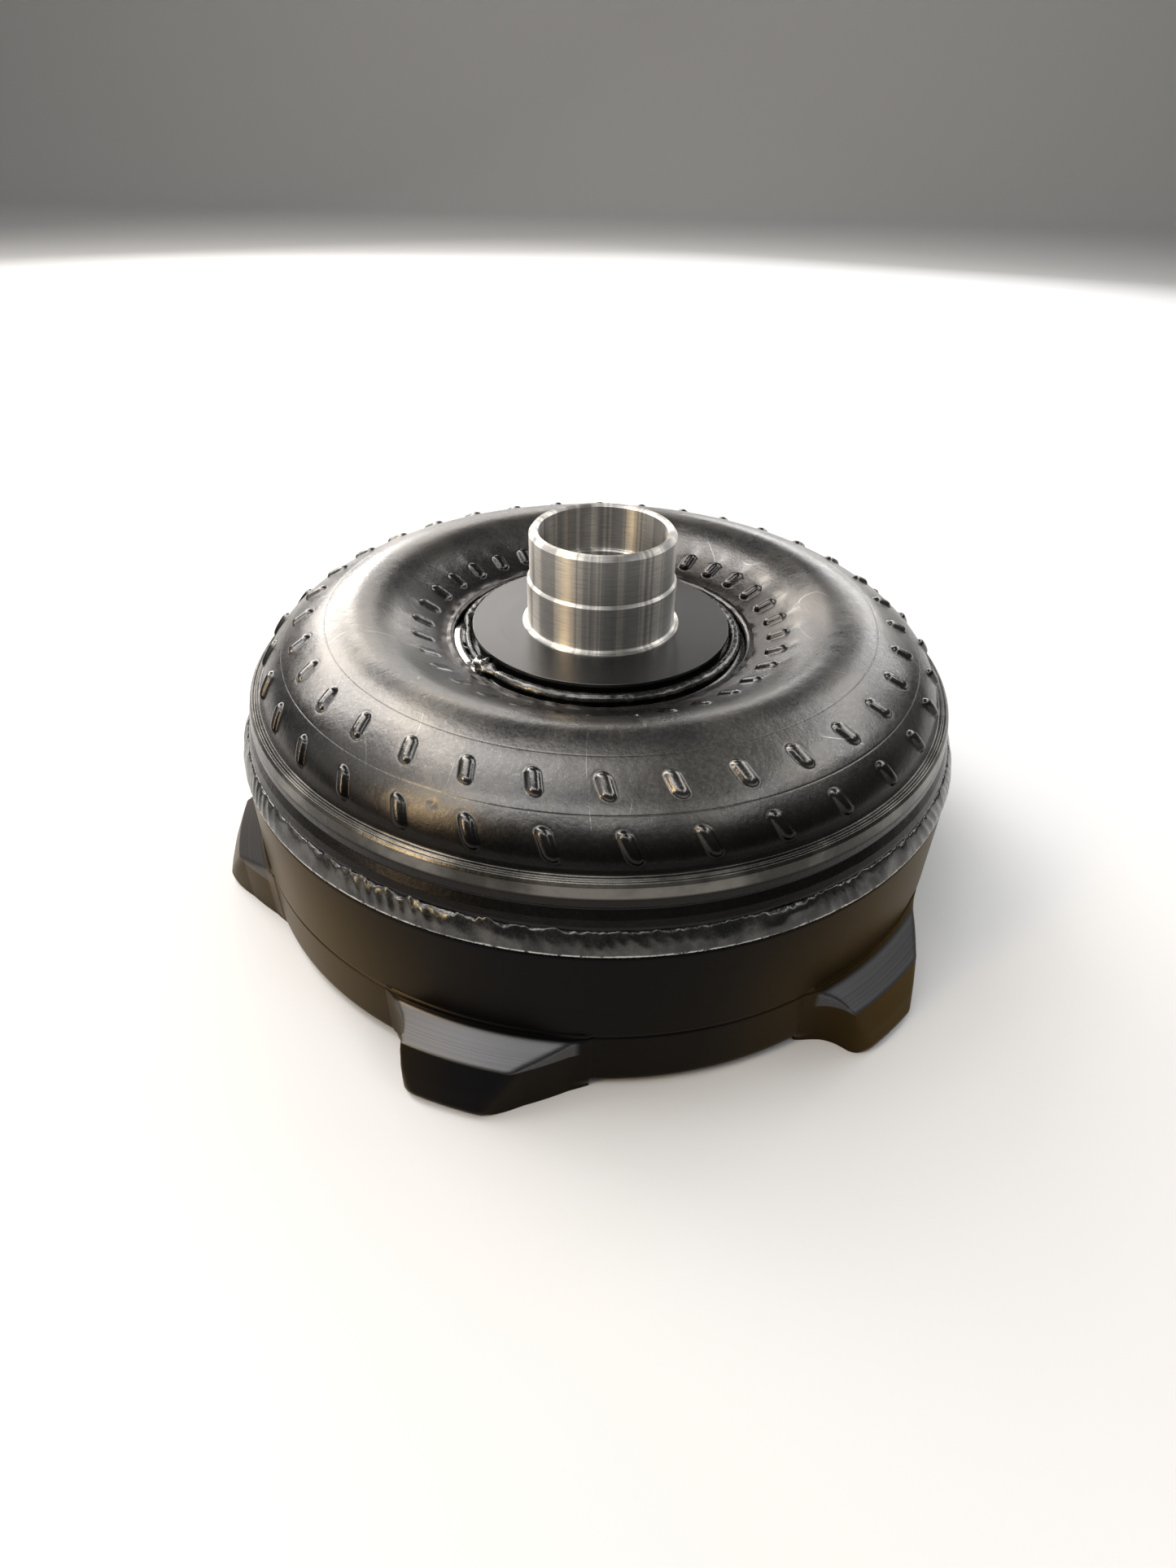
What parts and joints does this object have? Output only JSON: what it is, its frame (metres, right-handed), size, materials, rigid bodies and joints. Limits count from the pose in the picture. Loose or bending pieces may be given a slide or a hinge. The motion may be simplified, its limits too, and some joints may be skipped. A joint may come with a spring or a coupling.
{
  "type": "torque converter",
  "caption": "Welded lock-up torque converter: dimpled impeller shell with a pump hub, black front cover with bolt lugs, and a turbine, stator, damper and clutch inside.",
  "frame": {"origin": "on the turning axis, in the plane of the six lug pads, which is the bottom centre of the object standing on its lugs", "axes": "+Z along the turning axis towards the pump hub; a lug lies 15 degrees from +X towards +Y"},
  "size_m": [0.2862, 0.2826, 0.127],
  "materials": {
    "shell_paint": "semi-gloss black paint with fine orange peel, scratches and rubbed spots",
    "cover_black": "satin black oxide over machined steel, brushed bright on the lug ramps",
    "weld_bead": "glossy dark rippled weld bead with bright edges",
    "turned_steel": "bright turned steel with fine circular tool lines",
    "raw_steel": "pressed steel, satin",
    "hard_steel": "ground bearing steel",
    "spring_steel": "oil-hardened dark spring steel",
    "cast_aluminium": "die-cast aluminium, fine grained",
    "friction_paper": "brown paper friction lining",
    "seal_polymer": "black polymer seal"
  },
  "bodies": {
    "housing": {"front_cover": "cover_black", "crank_pilot": "turned_steel", "seam_weld": "weld_bead", "impeller_shell": "shell_paint", "impeller_hub": "turned_steel", "hub_weld": "weld_bead", "impeller_blades": "raw_steel", "front_bearing_lower_race": "hard_steel", "rear_bearing_upper_race": "hard_steel"},
    "turbine": {"turbine_hub": "hard_steel", "turbine_shell": "raw_steel", "turbine_blades": "raw_steel", "turbine_rivet_1": "raw_steel", "turbine_rivet_2": "raw_steel", "turbine_rivet_3": "raw_steel", "turbine_rivet_4": "raw_steel", "turbine_rivet_5": "raw_steel", "turbine_rivet_6": "raw_steel", "damper_driven_plate": "raw_steel", "piston_seal_ring": "seal_polymer", "front_bearing_upper_race": "hard_steel", "middle_bearing_lower_race": "hard_steel"},
    "damper": {"damper_drive_plate": "raw_steel", "damper_spring_1": "spring_steel", "damper_spring_2": "spring_steel", "damper_spring_3": "spring_steel", "damper_spring_4": "spring_steel", "damper_spring_5": "spring_steel", "damper_spring_6": "spring_steel"},
    "lockup_piston": {"clutch_piston": "raw_steel", "friction_lining": "friction_paper"},
    "stator": {"stator_wheel": "cast_aluminium", "clutch_outer_race": "hard_steel", "roller_cage": "spring_steel", "clutch_roller_1": "hard_steel", "clutch_roller_2": "hard_steel", "clutch_roller_3": "hard_steel", "clutch_roller_4": "hard_steel", "clutch_roller_5": "hard_steel", "clutch_roller_6": "hard_steel", "clutch_roller_7": "hard_steel", "clutch_roller_8": "hard_steel", "stator_front_cap": "cast_aluminium", "stator_rear_cap": "cast_aluminium", "stator_snap_ring": "spring_steel", "middle_bearing_upper_race": "hard_steel", "rear_bearing_lower_race": "hard_steel"},
    "stator_race": {"clutch_inner_race": "hard_steel"},
    "front_cage": {"front_bearing_needle_cage": "hard_steel"},
    "middle_cage": {"middle_bearing_needle_cage": "hard_steel"},
    "rear_cage": {"rear_bearing_needle_cage": "hard_steel"}
  },
  "joints": [
    {"name": "turbine_spin", "type": "hinge", "parent": "housing", "child": "turbine", "pos_m": [0, 0, 0.05], "axis": [0, 0, 1], "continuous": true},
    {"name": "damper_twist", "type": "hinge", "parent": "turbine", "child": "damper", "pos_m": [0, 0, 0.034], "axis": [0, 0, 1], "range_deg": [-6, 6], "stiffness_Nm_per_rad": 900, "deforming": ["damper_spring_1", "damper_spring_2", "damper_spring_3", "damper_spring_4", "damper_spring_5", "damper_spring_6"]},
    {"name": "lockup_slide", "type": "slide", "parent": "damper", "child": "lockup_piston", "axis": [0, 0, 1], "range_m": [0, 0.0012]},
    {"name": "stator_spin", "type": "hinge", "parent": "housing", "child": "stator", "pos_m": [0, 0, 0.072], "axis": [0, 0, 1], "continuous": true},
    {"name": "race_freewheel", "type": "hinge", "parent": "stator", "child": "stator_race", "pos_m": [0, 0, 0.072], "axis": [0, 0, 1], "continuous": true},
    {"name": "front_cage_spin", "type": "hinge", "parent": "housing", "child": "front_cage", "pos_m": [0, 0, 0.0205], "axis": [0, 0, 1], "continuous": true},
    {"name": "middle_cage_spin", "type": "hinge", "parent": "stator", "child": "middle_cage", "pos_m": [0, 0, 0.0602], "axis": [0, 0, 1], "continuous": true},
    {"name": "rear_cage_spin", "type": "hinge", "parent": "housing", "child": "rear_cage", "pos_m": [0, 0, 0.0847], "axis": [0, 0, 1], "continuous": true}
  ],
  "couplings": [
    {"joint": "front_cage_spin", "follows": "turbine_spin", "ratio": 0.5},
    {"joint": "middle_cage_spin", "follows": "turbine_spin", "ratio": 0.5},
    {"joint": "rear_cage_spin", "follows": "stator_spin", "ratio": 0.5}
  ]
}
